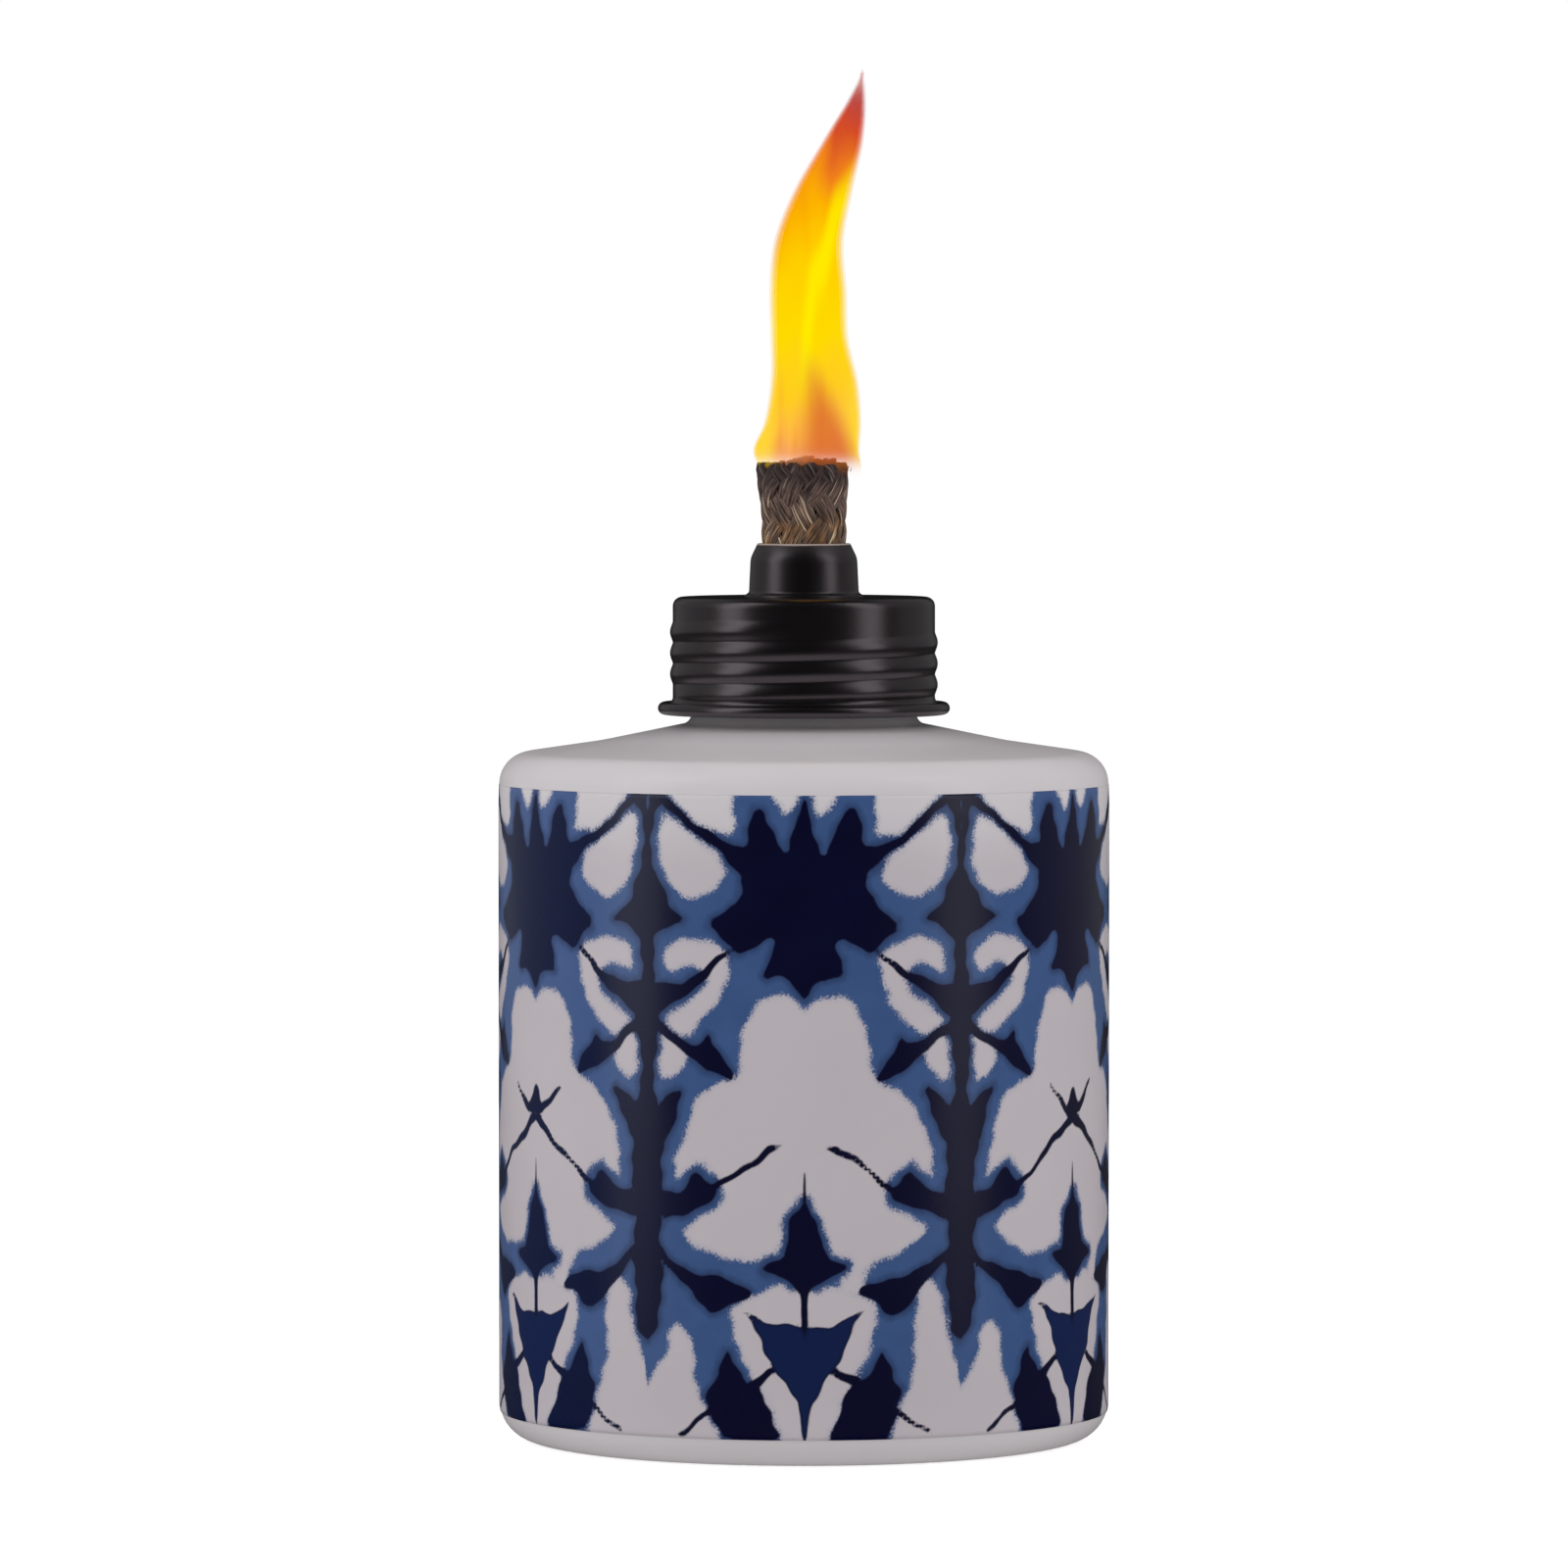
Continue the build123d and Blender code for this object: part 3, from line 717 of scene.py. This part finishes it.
# ---------------------------------------------------------------- wick rovings
# A bundle of straight glass-fibre rovings inside the braid, which draws the fuel up. The flame has
# burnt its end to an uneven dome with a few embers.
rng = np.random.default_rng(7)
core_top = wick_high.z + 0.9
core_shape = bmesh.new()
ROVING_R = 0.66
for ring in range(5):
    for seat in range(max(1, 6 * ring)):
        turn = 2 * math.pi * seat / max(1, 6 * ring)
        reach = ring * 1.14
        before = len(core_shape.verts)
        bmesh.ops.create_cone(
            core_shape,
            cap_ends=True,
            segments=12,
            radius1=ROVING_R * MM,
            radius2=ROVING_R * 0.55 * MM,
            depth=1.0,
        )
        core_shape.verts.ensure_lookup_table()
        east = reach * math.cos(turn)
        top = core_top - 0.1 * reach**1.5 + 0.09 * east + rng.uniform(-0.35, 0.35)
        lean = Vector((rng.uniform(-0.25, 0.25), rng.uniform(-0.25, 0.25)))
        for vert in core_shape.verts[before:]:
            at_top = vert.co.z > 0
            vert.co.x += (east + lean.x * at_top) * MM
            vert.co.y += (reach * math.sin(turn) + lean.y * at_top) * MM
            vert.co.z = (top if at_top else wick_low.z + 0.2) * MM
wick_rovings = stand_up("wick_rovings", core_shape, smooth=False)

charred_roving, paint, link = new_finish("charred_roving", IOR=1.5, Emission_Strength=1.0)
streak = paint.noise(0.35, (1, 1, 0.08), 3.0)
height = paint.along("Z")
burnt = height.step(lip_z + 3 * MM, lip_z + 9 * MM)
ember = paint.noise(1.1, detail=3.0).step(0.52, 0.7) * height.step(lip_z + 10.6 * MM, lip_z + 12.4 * MM)
link(
    Base_Color=burnt.between(streak.between((0.30, 0.24, 0.16), (0.55, 0.48, 0.36)), (0.012, 0.010, 0.009)),
    Roughness=0.7 + streak * 0.2,
    Emission_Color=ember.between((0, 0, 0), (0.20, 0.03, 0.008)),
    Normal=streak.bump(0.15),
)
wick_rovings.data.materials.append(charred_roving)
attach(wick_rovings, "wick")
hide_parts("wick_core")

# ---------------------------------------------------------------- loose filaments
# Single filaments that have come out of the burnt end. They stand up between the rovings and the
# braid's rim.
fray = bmesh.new()
for _ in range(150):
    turn = rng.uniform(0, 2 * math.pi)
    reach = braid_radius(wick_high.z - 0.9) * math.sqrt(rng.uniform(0.25, 0.97))
    root = Vector((reach * math.cos(turn), reach * math.sin(turn), wick_high.z - rng.uniform(0.9, 1.6)))
    length = rng.uniform(0.5, 1.2)
    sideways = Vector((math.cos(turn), math.sin(turn), 0)) * rng.uniform(-0.35, 0.3)
    before = len(fray.verts)
    bmesh.ops.create_cone(fray, segments=4, radius1=0.07 * MM, radius2=0.02 * MM, depth=1.0, cap_ends=True)
    fray.verts.ensure_lookup_table()
    for vert in fray.verts[before:]:
        at_tip = vert.co.z > 0
        spot = root + (sideways + Vector((0, 0, length))) * at_tip
        vert.co = Vector((vert.co.x, vert.co.y, 0)) + spot * MM
wick_fray = stand_up("wick_fray", fray, smooth=False)
wick_fray.data.materials.append(charred_roving)
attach(wick_fray, "wick")

# ---------------------------------------------------------------- flame
# Burning vapour, not a solid: a bright core inside three thinner veils. It leans to the right and
# ends in a red tip, and it is orange-red inside where it leaves the wick.
flame_low, flame_high = (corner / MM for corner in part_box("flame"))
# Share of the flame's height, centre in X and Y, half width in X and Y, in millimetres.
FLAME_LINE = np.array(
    [
        (-0.045, 1.3, 0.3, 6.9, 5.4),
        (-0.015, 1.0, 0.3, 7.7, 5.8),
        (0.02, 0.4, 0.2, 8.05, 6.5),
        (0.095, 1.2, -0.1, 7.4, 6.4),
        (0.193, 1.4, -0.3, 6.7, 5.6),
        (0.318, 0.75, -0.6, 5.85, 4.9),
        (0.442, 0.8, -0.4, 5.8, 4.5),
        (0.568, 1.05, 0.1, 5.2, 4.1),
        (0.693, 3.0, 0.4, 4.4, 3.5),
        (0.818, 5.85, 0.7, 3.05, 2.5),
        (0.918, 7.9, 0.6, 1.45, 1.3),
        (0.968, 8.6, 0.5, 0.65, 0.6),
        (1.0, 8.9, 0.3, 0.12, 0.12),
    ]
)


def flame_points(along, turn, inset, low, high):
    """The flame's surface, or a veil this far inside it, between two shares of its height."""
    rise = low + (high - low) * along
    # Catmull-Rom through the sections, so that the outline has no corners.
    rises = FLAME_LINE[:, 0]
    slopes = np.gradient(FLAME_LINE[:, 1:], rises, axis=0)
    section = np.clip(np.searchsorted(rises, rise, side="right") - 1, 0, len(rises) - 2)
    span = (rises[section + 1] - rises[section])[:, None]
    share = (rise - rises[section])[:, None] / span
    centre_x, centre_y, half_x, half_y = (
        (1 + 2 * share) * (1 - share) ** 2 * FLAME_LINE[section, 1:]
        + share * (1 - share) ** 2 * span * slopes[section]
        + share**2 * (3 - 2 * share) * FLAME_LINE[section + 1, 1:]
        + share**2 * (share - 1) * span * slopes[section + 1]
    ).T
    angle = 2 * np.pi * turn
    tongue = 1 + 0.05 * np.sin(3 * angle + 9 * rise) * np.sin(np.pi * np.clip(rise, 0, 1))
    shrink = np.clip(inset * np.sin(np.pi * np.clip(along, 0, 1)) ** 0.35, 0, None)
    reach_x = np.maximum(half_x * tongue - shrink, 0.04)
    reach_y = np.maximum(half_y * tongue - shrink, 0.04)
    return np.stack(
        [
            centre_x + reach_x * np.cos(angle),
            centre_y + reach_y * np.sin(angle),
            flame_low.z + rise * (flame_high.z - flame_low.z),
        ],
        1,
    )


def flame_finish(name, alpha, root):
    """Glowing gas that hides this share of what is behind it. It starts at this share of the height."""
    made, paint, link = new_finish(
        name, Base_Color=(0, 0, 0, 1), Specular_IOR_Level=0.0, Roughness=1.0, Emission_Strength=1.0
    )
    x = paint.along("X")
    rise = (paint.along("Z") / MM - flame_low.z) / (flame_high.z - flame_low.z)
    licks = paint.noise(5.5, (1, 1, 0.16), 2.0)
    heat = rise + (licks - 0.5) * 0.3
    ramp = {
        "stops": [
            (0.0, (0.88, 0.33, 0.15)),
            (0.06, (1.0, 0.46, 0.07)),
            (0.16, (1.0, 0.60, 0.015)),
            (0.34, (1.0, 0.70, 0.0)),
            (0.55, (1.0, 0.62, 0.0)),
            (0.68, (0.98, 0.44, 0.0)),
            (0.78, (0.88, 0.22, 0.01)),
            (0.88, (0.66, 0.07, 0.02)),
            (0.95, (0.50, 0.06, 0.05)),
        ]
    }
    glow = paint.node("ShaderNodeValToRGB", ramp, Fac=heat)
    curl = (licks - 0.5) * 6.0
    # Across the flame, from its left edge at 0 to its right edge at 1, with the lean taken out.
    lean = (rise - 0.42).maths("MAXIMUM", 0.0)
    across = (x / MM + 5.4 - lean * lean * 34) / 12.2
    band = (across - 0.30 - rise * 0.75 + (licks - 0.5) * 0.5).maths("ABSOLUTE")
    streak = (1 - band.step(0.02, 0.17)) * rise.step(0.12, 0.3) * (1 - rise.step(0.62, 0.84))
    dusk = (1 - (across + (licks - 0.5) * 0.3).step(0.0, 0.42)) * rise.step(0.42, 0.6)
    wedge_left = (x / MM + 0.2 - rise * 4 + curl).step(-2.2, 2.6)
    wedge_right = 1 - (x / MM - 8.0 + rise * 24 + curl * 0.5).step(-2.2, 1.4)
    wedge = wedge_left * wedge_right * (1 - rise.step(0.1, 0.4))
    skirt = (x / MM - 0.9).maths("ABSOLUTE").step(3.6, 7.0) * (1 - rise.step(0.12, 0.3))
    glow = (skirt * 0.85).between(glow, (1.0, 0.70, 0.03))
    warm = (dusk * 0.55).between(glow, (0.95, 0.30, 0.0))
    tongues = paint.noise(1.9, (1, 1, 0.07), 1.0).step(0.46, 0.62) * (1 - skirt) * (1 - rise.step(0.06, 0.3))
    bright = (streak * 0.8).between(warm, (1.0, 0.86, 0.0))
    licked = (tongues * 0.6).between(bright, (0.90, 0.30, 0.03))
    glow = (wedge * 0.85).between(licked, (0.72, 0.15, 0.03))
    link(
        Emission_Color=glow,
        Alpha=alpha * rise.step(root, root + 0.06) * (1 - rise.step(0.86, 1.0) * 0.85),
    )
    return made


for name, inset, alpha, low, high, root in (
    ("flame_edge", 0.0, 0.2, -0.045, 1.0, -0.045),
    ("flame_veil", 0.35, 0.35, -0.03, 0.997, -0.03),
    ("flame_body", 0.7, 0.5, -0.016, 0.993, -0.016),
    ("flame_heart", 1.15, 1.0, -0.004, 0.988, -0.006),
):

    def place(along, turn, inset=inset, low=low, high=high):
        return flame_points(along, turn, inset, low, high)

    shape = grid_tube(96, 40, place)
    veil = stand_up(name, shape)
    veil.data.materials.append(flame_finish(name, alpha, root))
    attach(veil, "wick")
    if name == "flame_heart":
        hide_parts("flame")
